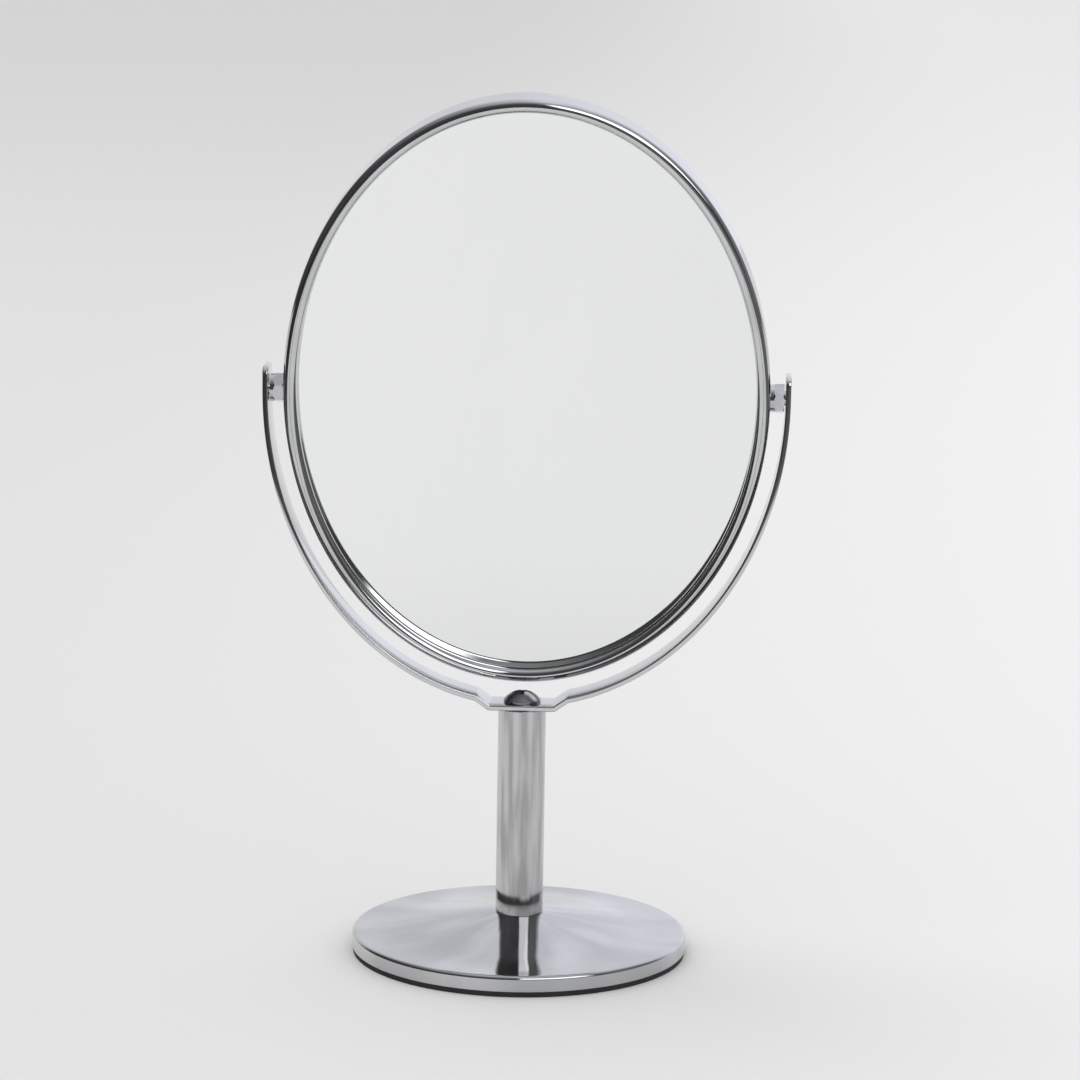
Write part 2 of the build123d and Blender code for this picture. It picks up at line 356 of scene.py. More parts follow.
class EffectLibrary:
    """Builds each shared shader node group once and places copies of it in materials."""

    WIPING = {"Scale": (1.0, 1.0, 0.28), "Rotation": (0.3, 0.5, 0.2)}
    SMEAR_NOISE = {"Roughness": 0.62, "Distortion": 0.8}
    SMEAR_SPAN = (0.42, 0.72)
    SPECK_SPAN = (0.16, 0.08)
    DUSTY_SCALE = 45.0
    DUSTY_SPAN = (0.6, 0.7)
    FINE_SHARE = 0.12

    def __init__(self) -> None:
        """Builds every group."""
        self.groups = {
            Effect.HANDLING: self.handling(),
            Effect.WAVINESS: self.waviness(),
            Effect.GRAIN: self.grain(),
        }

    @staticmethod
    def group(effect: Effect, inputs: dict[str, float], outputs: list[str]) -> tuple[Nodes, Node, Node]:
        """Makes an empty group with a Vector input, float inputs and float outputs.

        Args:
            effect: Which effect the group holds; its value is the group's name.
            inputs: Default value of each float input, by name.
            outputs: Names of the float outputs.

        Returns:
            The group's node builder, its input node and its output node.
        """
        tree = bpy.data.node_groups.new(effect.value, "ShaderNodeTree")
        tree.interface.new_socket("Vector", in_out="INPUT", socket_type="NodeSocketVector")
        for name, value in inputs.items():
            socket = tree.interface.new_socket(name, in_out="INPUT", socket_type="NodeSocketFloat")
            socket.default_value = value
        for name in outputs:
            tree.interface.new_socket(name, in_out="OUTPUT", socket_type="NodeSocketFloat")
        build = Nodes(tree)
        return build, build.add("NodeGroupInput"), build.add("NodeGroupOutput")

    def handling(self) -> Tree:
        """Faint wiped smears and a few dust specks: large noise stretched one way, and small cells.

        Returns:
            The group, which puts out Smears and Dust.
        """
        sizes = {"Scale": 60.0, "Specks": 900.0}
        build, source, sink = self.group(Effect.HANDLING, sizes, ["Smears", "Dust"])
        vector = source.outputs["Vector"]
        wiped = build.add("ShaderNodeMapping", {"Vector": vector, **self.WIPING})
        smears = build.noise(wiped.outputs[0], source.outputs["Scale"], 5.0, **self.SMEAR_NOISE)
        cells = build.add("ShaderNodeTexVoronoi", {"Vector": vector, "Scale": source.outputs["Specks"]})
        dusty = build.noise(vector, self.DUSTY_SCALE, 2.0)
        specks = build.step(cells.outputs["Distance"], self.SPECK_SPAN)
        dust = build.math("MULTIPLY", specks, build.step(dusty, self.DUSTY_SPAN))
        build.join(sink, {"Smears": build.step(smears, self.SMEAR_SPAN), "Dust": dust})
        return build.tree

    def waviness(self) -> Tree:
        """Shallow unevenness under the plating: slow noise plus a weaker, finer one.

        Returns:
            The group, which puts out Height.
        """
        build, source, sink = self.group(Effect.WAVINESS, {"Scale": 25.0, "Finer": 160.0}, ["Height"])
        vector = source.outputs["Vector"]
        slow = build.noise(vector, source.outputs["Scale"], 1.0)
        fine = build.noise(vector, source.outputs["Finer"], 2.0)
        height = build.math("ADD", slow, build.math("MULTIPLY", fine, self.FINE_SHARE))
        build.join(sink, {"Height": height})
        return build.tree

    def grain(self) -> Tree:
        """Fine even grain: small noise, with a coarser noise that varies its tone.

        Returns:
            The group, which puts out Height and Tone.
        """
        sizes = {"Scale": 1500.0, "Patches": 120.0}
        build, source, sink = self.group(Effect.GRAIN, sizes, ["Height", "Tone"])
        vector = source.outputs["Vector"]
        fine = build.noise(vector, source.outputs["Scale"], 3.0)
        patches = build.noise(vector, source.outputs["Patches"], 4.0)
        build.join(sink, {"Height": fine, "Tone": patches})
        return build.tree

    def place(self, build: Nodes, effect: Effect, vector: Socket, **values: float) -> Node:
        """Places one group in a material.

        Args:
            build: The material's node builder.
            effect: Which group.
            vector: The coordinates it reads.
            values: Its float inputs.

        Returns:
            The group's node.
        """
        return build.add("ShaderNodeGroup", {"Vector": vector, **values}, node_tree=self.groups[effect])


def new_material(name: str) -> tuple[Material, Nodes, Node, Socket]:
    """Makes a material with one Principled shader.

    Args:
        name: The material's name.

    Returns:
        The material, its node builder, the Principled shader and the Object coordinates.
    """
    material = bpy.data.materials.new(name)
    material.use_nodes = True
    material.node_tree.nodes.clear()
    build = Nodes(material.node_tree)
    shader = build.add("ShaderNodeBsdfPrincipled")
    build.add("ShaderNodeOutputMaterial", {"Surface": shader.outputs[0]})
    place = build.add("ShaderNodeTexCoord")
    return material, build, shader, place.outputs["Object"]


class Pressing(Enum):
    """How the metal under the plating was formed, which sets the pattern of its waviness."""

    ROLLED = "rolled"
    DRAWN = "drawn"
    SPUN = "spun"


DRAWN_STRETCH = (1.0, 1.0, 0.09)
SPUN_PER_METRE = 16.0
FINER_WAVES = 5
# Painted shade: where on the waviness the plate's crests are painted darker.
SHADED_CREST_SPAN = (0.38, 0.72)
PLATE_SMEAR_TONE = 0.93
PLATE_DUST = (0.35, 0.75)
PLATE_DUST_ROUGHNESS = 0.3
GLASS_MARKS = {"Scale": 22.0, "Specks": 1400.0}
GLASS_SMEAR_TONE = 0.985
GLASS_DUST = (0.2, 0.8)


@dataclass(frozen=True)
class PlatedFinish:
    """Bright plate on steel.

    Attributes:
        name: Material name.
        colour: Reflectance of the plate.
        roughness: Roughness of clean plate.
        smear_roughness: Roughness where it was wiped or touched.
        waviness: Height of the unevenness under the plate, in metres.
        wave_scale: How many waves fit in a metre.
        crest_shade: Painted shade on the crests of its waviness, as a share taken off the colour.
        pressing: How the metal was formed.
    """

    name: str
    colour: Triple
    roughness: float
    smear_roughness: float
    waviness: float
    wave_scale: float
    crest_shade: float
    pressing: Pressing = Pressing.ROLLED

    def coordinates(self, build: Nodes, place: Socket) -> Socket:
        """The coordinates of the waviness.

        Drawn metal has long waves along Z. Spun metal has waves that fan out from the Z axis, read at
        (x / r, y / r, 16 * r), so they have no seam.

        Args:
            build: The material's node builder.
            place: Object coordinates.

        Returns:
            The coordinates socket.
        """
        if self.pressing is Pressing.DRAWN:
            return build.add("ShaderNodeMapping", {"Vector": place, "Scale": DRAWN_STRETCH}).outputs[0]
        if self.pressing is Pressing.SPUN:
            across, deep, _ = build.parts(place)
            flat = build.add("ShaderNodeCombineXYZ", {0: across, 1: deep}).outputs[0]
            cosine, sine, _ = build.parts(build.vector("NORMALIZE", flat))
            outward = build.math("MULTIPLY", build.vector("LENGTH", flat), SPUN_PER_METRE)
            return build.add("ShaderNodeCombineXYZ", {0: cosine, 1: sine, 2: outward}).outputs[0]
        return place

    def build(self, effects: EffectLibrary) -> Material:
        """Builds the material.

        Args:
            effects: The shared node groups.

        Returns:
            The material.
        """
        material, build, shader, place = new_material(self.name)
        marks = effects.place(build, Effect.HANDLING, place)
        smears, dust = marks.outputs["Smears"], marks.outputs["Dust"]
        way = self.coordinates(build, place)
        finer = self.wave_scale * FINER_WAVES
        waves = effects.place(build, Effect.WAVINESS, way, Scale=self.wave_scale, Finer=finer)
        height = waves.outputs["Height"]
        dust_share, dust_tone = PLATE_DUST
        tone = build.blend(smears, solid(self.colour), solid(self.colour, PLATE_SMEAR_TONE))
        # Painted shade: the crests of the waviness are painted darker, standing for streaks in the
        # reflection.
        tone = build.blend(build.step(height, SHADED_CREST_SPAN), tone, solid(self.colour, 1 - self.crest_shade))
        tone = build.blend(build.math("MULTIPLY", dust, dust_share), tone, grey(dust_tone))
        rough = build.scaled(smears, self.roughness, self.smear_roughness)
        rough = build.math("ADD", rough, build.math("MULTIPLY", dust, PLATE_DUST_ROUGHNESS))
        bump = build.bump(height, self.waviness)
        build.join(shader, {"Base Color": tone, "Roughness": rough, "Normal": bump, "Metallic": 1.0})
        return material


@dataclass(frozen=True)
class SilveredGlass:
    """Silvered glass, seen from the glass side.

    Attributes:
        name: Material name.
        colour: Reflectance, slightly green from the glass over the silver.
        roughness: Roughness of clean glass.
        smear_roughness: Roughness where it was wiped.
    """

    name: str
    colour: Triple
    roughness: float
    smear_roughness: float

    def build(self, effects: EffectLibrary) -> Material:
        """Builds the material.

        Args:
            effects: The shared node groups.

        Returns:
            The material.
        """
        material, build, shader, place = new_material(self.name)
        marks = effects.place(build, Effect.HANDLING, place, **GLASS_MARKS)
        smears, dust = marks.outputs["Smears"], marks.outputs["Dust"]
        dust_share, dust_tone = GLASS_DUST
        tone = build.blend(smears, solid(self.colour), solid(self.colour, GLASS_SMEAR_TONE))
        tone = build.blend(build.math("MULTIPLY", dust, dust_share), tone, grey(dust_tone))
        rough = build.scaled(smears, self.roughness, self.smear_roughness)
        build.join(shader, {"Base Color": tone, "Roughness": rough, "Metallic": 1.0})
        return material


@dataclass(frozen=True)
class GrainFinish:
    """A matt or satin surface with fine grain, such as foam, card, cast iron or turned metal.

    Attributes:
        name: Material name.
        dark: Darker tone of the grain.
        light: Lighter tone of the grain.
        roughness: Lowest and highest roughness.
        grain_scale: How many grains fit in a metre.
        grain_height: Height of the grain, in metres.
        metallic: 1 for bare metal, 0 for anything else.
        stretch: Scale of the grain along X, Y and Z, to draw it out one way.
    """

    name: str
    dark: Triple
    light: Triple
    roughness: Span
    grain_scale: float
    grain_height: float
    metallic: float = 0.0
    stretch: Triple = (1.0, 1.0, 1.0)

    def build(self, effects: EffectLibrary) -> Material:
        """Builds the material.

        Args:
            effects: The shared node groups.

        Returns:
            The material.
        """
        material, build, shader, place = new_material(self.name)
        drawn = build.add("ShaderNodeMapping", {"Vector": place, "Scale": self.stretch})
        grain = effects.place(build, Effect.GRAIN, drawn.outputs[0], Scale=self.grain_scale)
        height = grain.outputs["Height"]
        tone = build.blend(grain.outputs["Tone"], solid(self.dark), solid(self.light))
        rough = build.scaled(height, *self.roughness)
        bump = build.bump(height, self.grain_height)
        build.join(
            shader, {"Base Color": tone, "Roughness": rough, "Normal": bump, "Metallic": self.metallic}
        )
        return material


Finish = PlatedFinish | SilveredGlass | GrainFinish

CHROME = (0.64, 0.645, 0.66)
STEM_CHROME = (0.60, 0.60, 0.61)
FASTENER_CHROME = (0.60, 0.605, 0.62)
DARK_CHROME = (0.26, 0.26, 0.27)

RING_PLATE = PlatedFinish("ring_plate", CHROME, 0.06, 0.12, 1.2e-5, 60.0, 0.10)
YOKE_PLATE = PlatedFinish("yoke_plate", CHROME, 0.05, 0.10, 1.0e-5, 70.0, 0.06)
STEM_PLATE = PlatedFinish("stem_plate", STEM_CHROME, 0.08, 0.14, 1.4e-5, 480.0, 0.34, Pressing.DRAWN)
COVER_PLATE = PlatedFinish("cover_plate", CHROME, 0.07, 0.13, 9.0e-5, 2.4, 0.20, Pressing.SPUN)
FASTENER_PLATE = PlatedFinish("fastener_plate", FASTENER_CHROME, 0.08, 0.16, 0.8e-5, 300.0, 0.12)
DARK_PLATE = PlatedFinish("dark_plate", DARK_CHROME, 0.16, 0.28, 1.0e-5, 400.0, 0.25)
MIRROR_GLASS = SilveredGlass("mirror_glass", (0.93, 0.945, 0.935), 0.0, 0.02)
PAD_FOAM = GrainFinish("pad_foam", (0.012, 0.012, 0.013), (0.03, 0.03, 0.032), (0.75, 0.95), 2600.0, 6e-5)
PACKING_FOAM = GrainFinish("packing_foam", (0.1, 0.1, 0.11), (0.17, 0.17, 0.18), (0.8, 0.95), 2200.0, 6e-5)
CAST_IRON = GrainFinish("cast_iron", (0.10, 0.10, 0.105), (0.22, 0.215, 0.21), (0.4, 0.65), 900.0, 5e-5, 1.0)
GREY_BOARD = GrainFinish("grey_board", (0.30, 0.28, 0.25), (0.50, 0.47, 0.42), (0.8, 0.95), 1200.0, 3e-5)
ZINC_STEEL = GrainFinish("zinc_steel", (0.48, 0.49, 0.5), (0.6, 0.61, 0.62), (0.22, 0.38), 1800.0, 4e-6, 1.0)
LATHE_LINES = (0.1, 0.1, 1.0)
TURNED_ALUMINIUM = GrainFinish(
    "turned_aluminium", (0.68, 0.68, 0.69), (0.82, 0.82, 0.83), (0.25, 0.42), 2400.0, 5e-6, 1.0, LATHE_LINES
)


class Finishes:
    """Builds every material once and hands it out by its finish."""

    def __init__(self) -> None:
        """Starts with the shared effects and no materials."""
        self.effects = EffectLibrary()
        self.made: dict[str, Material] = {}

    def get(self, finish: Finish) -> Material:
        """The material of a finish, built on its first use.

        Args:
            finish: The finish.

        Returns:
            Its material.
        """
        if finish.name not in self.made:
            self.made[finish.name] = finish.build(self.effects)
        return self.made[finish.name]


@dataclass
class Assembly:
    """What every sub-assembly shares: the frame, the finishes and the way a piece is put in place.

    Attributes:
        frame: The CAD frame as it was loaded.
        finishes: The materials.
    """

    frame: dict
    finishes: Finishes

    def stand_in(self, piece: Piece, body: Body, node: str, finish: Finish) -> None:
        """Lets a new piece stand for a CAD node.

        Args:
            piece: The new piece, in place.
            body: The body that it rides on.
            node: The CAD node that it replaces.
            finish: Its finish.
        """
        piece.data.materials.append(self.finishes.get(finish))
        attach(piece, body.value)
        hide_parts(node)
        log.info("%s stands for %s with %d faces", piece.name, node, len(piece.data.polygons))

    def paint(self, finish: Finish, *nodes: str) -> None:
        """Keeps CAD nodes as they are and gives them a finish in place of their plain material.

        Args:
            finish: The finish.
            nodes: The CAD nodes.
        """
        for node in nodes:
            materials = self.frame["nodes"][node].data.materials
            materials.clear()
            materials.append(self.finishes.get(finish))
            log.info("%s is painted with %s", node, finish.name)

    def pivot(self) -> Vector:
        """A point on the axis that the mirror head turns about."""
        return Vector(self.frame["joints"][0]["pos_m"])


@dataclass
class BaseAssembly(Assembly):
    """Weighted base: plated cover over an iron disc on a foam pad.

    Attributes:
        sheet: Thickness of the cover.
        rim_margin: Width of the flat margin inside the rim.
        blend_length: Width of the hollow between cone and margin.
        landing_margin: Width of the flat landing outside the stem.
        landing_round: Radius between landing and cone.
        rim_height: Height of the cover's vertical rim.
        rim_round: Radius of the rim's top edge.
        hem_round: Radius of the rim's lower edge.
    """

    sheet: float = 0.8 * MM
    rim_margin: float = 4.4 * MM
    blend_length: float = 10.0 * MM
    landing_margin: float = 0.5 * MM
    landing_round: float = 1.2 * MM
    rim_height: float = 4.2 * MM
    rim_round: float = 1.1 * MM
    hem_round: float = 0.15 * MM

    def cover_outline(self) -> np.ndarray:
        """The cover's closed half-section.

        The cone runs straight from the landing to the hollow, whose radius is half its width over the
        tangent of half the cone's slope, and then the flat margin runs to the rounded rim. The hole in
        the middle, under the stem, is half as wide as the stem.

        Returns:
            Rows of (radius, height).
        """
        low, high = corners_of("base_cover")
        stem = corners_of("stem_tube")[1][0]
        edge, hem, top = high[0], low[2], high[2]
        rim_top = hem + self.rim_height
        landing = stem + self.landing_margin
        hollow = edge - self.rim_margin - self.blend_length / 2
        slope = math.atan2(top - rim_top, hollow - landing)
        hollow_round = self.blend_length / 2 / math.tan(slope / 2)
        hole = stem / 2
        inside = self.sheet
        corners = [
            (hole, top, self.hem_round),
            (landing, top, self.landing_round),
            (hollow, rim_top, hollow_round),
            (edge, rim_top, self.rim_round),
            (edge, hem, self.hem_round),
            (edge - inside, hem, self.hem_round),
            (edge - inside, rim_top - inside, self.rim_round - inside),
            (hollow, rim_top - inside, hollow_round),
            (landing, top - inside, self.landing_round),
            (hole, top - inside, self.hem_round),
        ]
        return rounded_outline(np.array(corners), COVER_MESH.arc, COVER_MESH.support)

    def build(self) -> None:
        """Builds and dresses the base."""
        cover = turned("cover_shell", self.cover_outline(), COVER_MESH.steps)
        self.stand_in(cover, Body.STAND, "base_cover", COVER_PLATE)
        self.paint(PAD_FOAM, "base_pad")
        self.paint(CAST_IRON, "base_weight")
        self.paint(ZINC_STEEL, "base_screw", "base_washer")


@dataclass
class StemAssembly(Assembly):
    """Round tube with a tapped plug in each end.

    Attributes:
        wall: Wall thickness of the tube.
        edge_round: Radius of the tube's deburred ends.
    """

    wall: float = 1.0 * MM
    edge_round: float = 0.15 * MM

    def tube_outline(self) -> np.ndarray:
        """The tube's closed half-section.

        Returns:
            Rows of (radius, height).
        """
        low, high = corners_of("stem_tube")
        outer = high[0]
        inner = outer - self.wall
        corners = [(outer, low[2]), (outer, high[2]), (inner, high[2]), (inner, low[2])]
        rounded = [(*corner, self.edge_round) for corner in corners]
        return rounded_outline(np.array(rounded), TUBE_MESH.arc, TUBE_MESH.support)

    def build(self) -> None:
        """Builds and dresses the stem."""
        tube = turned("stem_shell", self.tube_outline(), TUBE_MESH.steps)
        self.stand_in(tube, Body.STAND, "stem_tube", STEM_PLATE)
        self.paint(TURNED_ALUMINIUM, "stem_foot_plug", "stem_top_plug")


@dataclass
class YokeAssembly(Assembly):
    """Bent strip that carries the mirror head.

    Attributes:
        thickness: Thickness of the strip.
        edge_round: Radius of its long edges.
        end_round: Radius of the corners of its ends.
        seat_margin: How far the flat seat reaches past the stem on each side.
        ramp_run: Length of each ramp along X.
        bend_round: Radius of the bends, at the strip's middle.
        bend_room: How far before a ramp's bend the bow ends, along X.
        bow_gap: Gap between the ring's outline and the bow at the bottom.
        arm_foot: Height above the pivot at which each arm is straight.
        bore: Radius of the pivot holes.
    """

    thickness: float = 1.4 * MM
    edge_round: float = 0.3 * MM
    end_round: float = 2.6 * MM
    seat_margin: float = 2.3 * MM
    ramp_run: float = 3.5 * MM
    bend_round: float = 1.8 * MM
    bend_room: float = 1.3 * MM
    bow_gap: float = 2.6 * MM
    arm_foot: float = 0.5 * MM
    bore: float = 2.05 * MM

    def centre_line(self) -> np.ndarray:
        """The strip's middle line in the XZ plane, from the left end to the right end.

        Each arm is straight above the pivot. The bow is the oval x = a * cos(t), z = pivot - b * sin(t)
        below it, as far as the ramps. Its outside passes below the ring's outline with the bow's gap.
        The ramps and the seat are straight, with rounded bends.

        Returns:
            Rows of (x, z).
        """
        top, pivot = corners_of("yoke")[1], self.pivot().z
        stem = corners_of("stem_tube")[1]
        half = self.thickness / 2
        across = top[0] - half
        deep = HeadShape.from_frame(self.frame).ring_half_height + self.bow_gap + self.thickness - half
        seat_half = stem[0] + self.seat_margin
        ramp_half = seat_half + self.ramp_run
        last = math.acos((ramp_half + self.bend_room) / across)
        turn = np.linspace(0.0, last, STRIP_MESH.steps)
        arm = np.array([[across, top[2]], [across, pivot + self.arm_foot]])
        bow = np.stack([across * np.cos(turn), pivot - deep * np.sin(turn)], axis=1)
        right = np.vstack([arm, bow])
        right = np.hstack([right, np.zeros((len(right), 1))])
        ramp_top = pivot - deep * math.sqrt(1 - (ramp_half / across) ** 2)
        bends = [[ramp_half, ramp_top, self.bend_round], [seat_half, stem[2] + half, self.bend_round]]
        right = np.vstack([right, bends])
        left = right[::-1] * np.array([-1.0, 1.0, 1.0])
        path = np.vstack([right, left])[::-1]
        return rounded_outline(path, STRIP_MESH.arc, STRIP_MESH.support, closed=False)

    def strip(self) -> Piece:
        """The strip as a rounded rectangle carried along the middle line.

        At distance d from an end the half width is w - r + sqrt(r^2 - (r - d)^2) inside the end's corner
        radius r, and the half thickness shrinks the same way over the edge radius. The two ends close on
        a point.

        Returns:
            The new object.
        """
        line = self.densified(self.centre_line())
        steps = np.linalg.norm(np.diff(line, axis=0), axis=1)
        along = np.concatenate([[0.0], np.cumsum(steps)])
        from_end = np.minimum(along, along[-1] - along)
        ahead = unit(np.gradient(line, axis=0))
        normal = np.stack([-ahead[:, 1], ahead[:, 0]], axis=1)
        half_width = self.eased(corners_of("yoke")[1][1], self.end_round, from_end)[:, None]
        half_thick = self.eased(self.thickness / 2, self.edge_round, from_end)[:, None]
        largest_share = 0.98
        radius = np.minimum(self.edge_round, half_thick * largest_share)
        corner = np.linspace(0.0, QUARTER_TURN, STRIP_EDGE_STEPS)
        turn = (np.arange(4)[:, None] * QUARTER_TURN + corner).ravel()
        sign_wide = np.repeat([1.0, -1.0, -1.0, 1.0], STRIP_EDGE_STEPS)
        sign_thick = np.repeat([1.0, 1.0, -1.0, -1.0], STRIP_EDGE_STEPS)
        across = sign_wide * (half_width - radius) + radius * np.cos(turn)
        out = sign_thick * (half_thick - radius) + radius * np.sin(turn)
        x = line[:, :1] + normal[:, :1] * out
        z = line[:, 1:] + normal[:, 1:] * out
        grid = np.stack([x, across, z], axis=-1)
        first = grid[:1].mean(axis=1, keepdims=True)
        last = grid[-1:].mean(axis=1, keepdims=True)
        near_rim = 0.9
        caps = [first + (grid[:1] - first) * share for share in (0.0, near_rim)]
        ends = [last + (grid[-1:] - last) * share for share in (near_rim, 0.0)]
        return surface("yoke_strip", np.concatenate([*caps, grid, *ends]), Wrap.COLUMNS)

    @staticmethod
    def eased(full: float, radius: float, distance: np.ndarray) -> np.ndarray:
        """A half size that rounds off towards an end, by the circle of the given radius."""
        inside = np.clip(radius - distance, 0.0, radius)
        return full - radius + np.sqrt(radius**2 - inside**2)

    def densified(self, line: np.ndarray) -> np.ndarray:
        """Adds points near both ends of the line, where the strip's corners are rounded.

        They lie at r * (1 - cos(t)) from the end, with t running over a quarter turn.

        Args:
            line: Rows of (x, z).

        Returns:
            The line with the added rows.
        """
        near = self.end_round * (1 - np.cos(np.linspace(0.0, QUARTER_TURN, STRIP_END_STEPS)))
        near = np.concatenate([near, [self.end_round + STRIP_MESH.support]])
        start = line[0] + unit(line[1] - line[0]) * near[:, None]
        end = line[-1] + unit(line[-2] - line[-1]) * near[::-1, None]
        return np.vstack([start, line[1:-1], end])

    def build(self) -> None:
        """Builds and dresses the yoke and its screw."""
        strip = drilled(self.strip(), self.bore, self.pivot())
        self.stand_in(strip, Body.STAND, "yoke", YOKE_PLATE)
        self.paint(DARK_PLATE, "yoke_screw")


DRILL_LENGTH = 0.4
DRILL_SEGMENTS = 96
SHARP_HOLE = math.radians(35)
SHARP_PANE = math.radians(20)


def drilled(piece: Piece, radius: float, centre: Vector) -> Piece:
    """Cuts a round hole along X through a piece.

    Args:
        piece: The piece to cut.
        radius: The hole's radius.
        centre: A point on the hole's axis.

    Returns:
        The piece, with the hole in its mesh and its sharp edges marked.
    """
    drill = bmesh.new()
    turn = Matrix.Translation(centre) @ Matrix.Rotation(QUARTER_TURN, 4, "Y")
    sizes = {"segments": DRILL_SEGMENTS, "radius1": radius, "radius2": radius, "depth": DRILL_LENGTH}
    bmesh.ops.create_cone(drill, cap_ends=True, matrix=turn, **sizes)
    mesh = bpy.data.meshes.new("drill")
    drill.to_mesh(mesh)
    drill.free()
    cutter = linked("drill", mesh)
    cut = piece.modifiers.new("hole", "BOOLEAN")
    cut.operation = "DIFFERENCE"
    cut.solver = "EXACT"
    cut.object = cutter
    bpy.context.view_layer.update()
    evaluated = piece.evaluated_get(bpy.context.evaluated_depsgraph_get())
    result = bpy.data.meshes.new_from_object(evaluated)
    piece.modifiers.clear()
    piece.data = result
    bpy.data.objects.remove(cutter)
    result.shade_smooth()
    result.set_sharp_from_angle(angle=SHARP_HOLE)
    return piece


@dataclass
class HeadShape:
    """Sizes of the mirror head, in its own upright frame about the pivot.

    Attributes:
        pivot: Height of the pivot axis.
        half_width: Half width of the ring outside.
        tilt: Lean of the head in the rest pose, in radians, top towards the viewer.
        bead: Radius of the ring's beads.
        sheet: Thickness of the ring's sheet.
        half_depth: Half depth of the ring.
        ring_half_height: Half height of the ring outside.
        front_face: Place of the plain pane's front face along Y.
        glass: Thickness of both panes.
        card: Thickness of the card between them.
        magnifier: Radius of the bent pane.
        under_lip: How far the panes reach under the ring's inner edge.
        lip_lean: How far the front lip leans back under the bead.
        seat: Gap between card and bent pane.
    """

    pivot: float
    half_width: float
    tilt: float = math.radians(8.0)
    bead: float = 1.8 * MM
    sheet: float = 0.5 * MM
    half_depth: float = 6.0 * MM
    ring_half_height: float = 78.45 * MM
    front_face: float = -1.5 * MM
    glass: float = 1.3 * MM
    card: float = 0.4 * MM
    magnifier: float = 1150.0 * MM
    under_lip: float = 1.6 * MM
    lip_lean: float = 0.65 * MM
    seat: float = 0.03 * MM

    @classmethod
    def from_frame(cls, frame: dict) -> HeadShape:
        """Reads the pivot and the ring's width from the frame."""
        ring = corners_of("mirror_frame")[1]
        return cls(pivot=frame["joints"][0]["pos_m"][2], half_width=ring[0])

    @property
    def line(self) -> Span:
        """Half width and half height of the oval through the beads' centres."""
        return self.half_width - self.bead, self.ring_half_height - self.bead

    @property
    def pane(self) -> Span:
        """Half width and half height of the panes."""
        wide, high = self.line
        return wide - self.bead + self.under_lip, high - self.bead + self.under_lip

    @property
    def rear_crown(self) -> float:
        """Place along Y of the bent pane's inner face at its middle."""
        return self.front_face + self.glass + self.card + self.seat

    @property
    def rear_edge(self) -> float:
        """Place along Y of the bent pane's outer face at the top of its oval."""
        return self.rear_crown + self.glass + self.pane[1] ** 2 / (2 * self.magnifier)

    def leaned(self, grid: np.ndarray) -> np.ndarray:
        """Turns points about the pivot axis by the head's lean and lifts them to the pivot."""
        lean = np.array(Matrix.Rotation(self.tilt, 3, "X"))
        return grid @ lean.T + np.array([0.0, 0.0, self.pivot])


